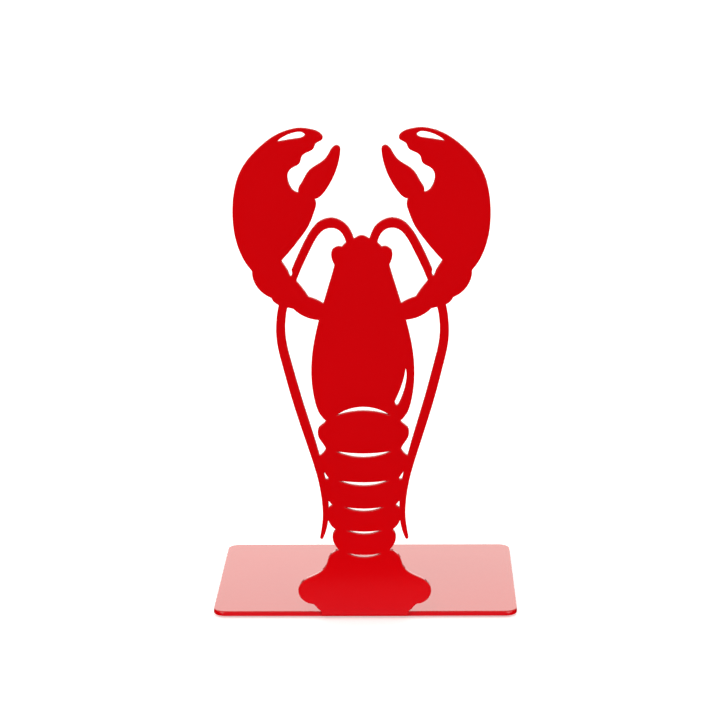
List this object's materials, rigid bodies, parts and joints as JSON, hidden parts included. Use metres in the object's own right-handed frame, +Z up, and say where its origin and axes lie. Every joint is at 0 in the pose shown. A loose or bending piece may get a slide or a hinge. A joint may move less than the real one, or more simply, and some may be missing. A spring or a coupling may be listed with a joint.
{
  "type": "lobster bookend",
  "caption": "Bookend cut and bent from one red coated steel sheet: an upright lobster outline at the front edge of a flat rectangular base on non-slip pads.",
  "frame": {"origin": "on the shelf, under the middle of the whole bookend's length and depth", "axes": "+Z up, +Y back from the upright lobster over the base, +X to the right of someone who faces the lobster"},
  "size_m": [0.15, 0.1126, 0.2433],
  "materials": {
    "coated_steel": "gloss red powder coat",
    "pad_rubber": "matt, fine textured"
  },
  "bodies": {
    "root": {"bent_steel_sheet": "coated_steel", "rubber_pad_front_left": "pad_rubber", "rubber_pad_front_right": "pad_rubber", "rubber_pad_rear_left": "pad_rubber", "rubber_pad_rear_right": "pad_rubber"}
  },
  "joints": []
}
